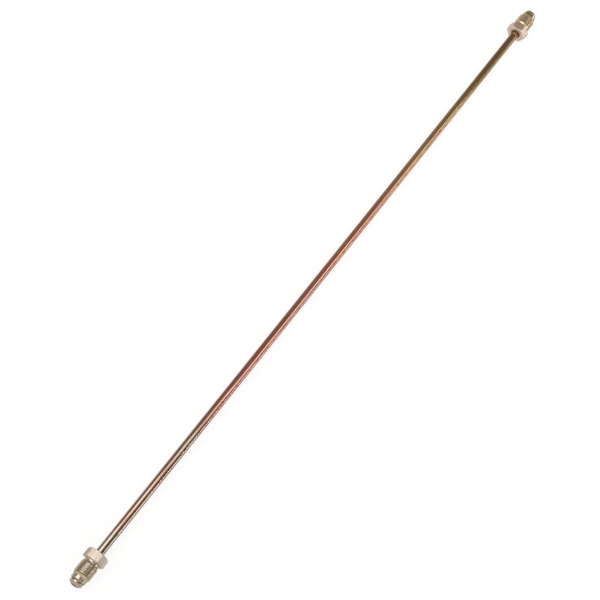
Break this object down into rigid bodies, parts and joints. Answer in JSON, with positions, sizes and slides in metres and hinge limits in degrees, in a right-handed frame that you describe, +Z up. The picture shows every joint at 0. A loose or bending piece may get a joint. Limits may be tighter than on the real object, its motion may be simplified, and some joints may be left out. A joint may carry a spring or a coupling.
{
  "type": "brake line",
  "caption": "Straight rigid brake line: steel tube with a bubble flare at each end and a male tube nut turning freely behind each flare.",
  "frame": {"origin": "on the surface that the line lies on, under the middle of the tube", "axes": "+X along the tube from the near nut to the far nut, +Z up; the tube's axis is half the hexagon's width across flats above the surface"},
  "size_m": [0.45, 0.0128, 0.011],
  "materials": {
    "passivated_tube": "bright zinc plating with an iridescent yellow-brown passivation",
    "plated_nut": "satin zinc plating with a pale olive passivation, over turned steel"
  },
  "bodies": {
    "line": {"tube": "passivated_tube"},
    "near_nut": {"near_nut": "plated_nut"},
    "far_nut": {"far_nut": "plated_nut"}
  },
  "joints": [
    {"name": "near_nut_turn", "type": "hinge", "parent": "line", "child": "near_nut", "pos_m": [-0.21365, 0, 0.0055], "axis": [1, 0, 0], "continuous": true},
    {"name": "far_nut_turn", "type": "hinge", "parent": "line", "child": "far_nut", "pos_m": [0.21365, 0, 0.0055], "axis": [1, 0, 0], "continuous": true}
  ]
}
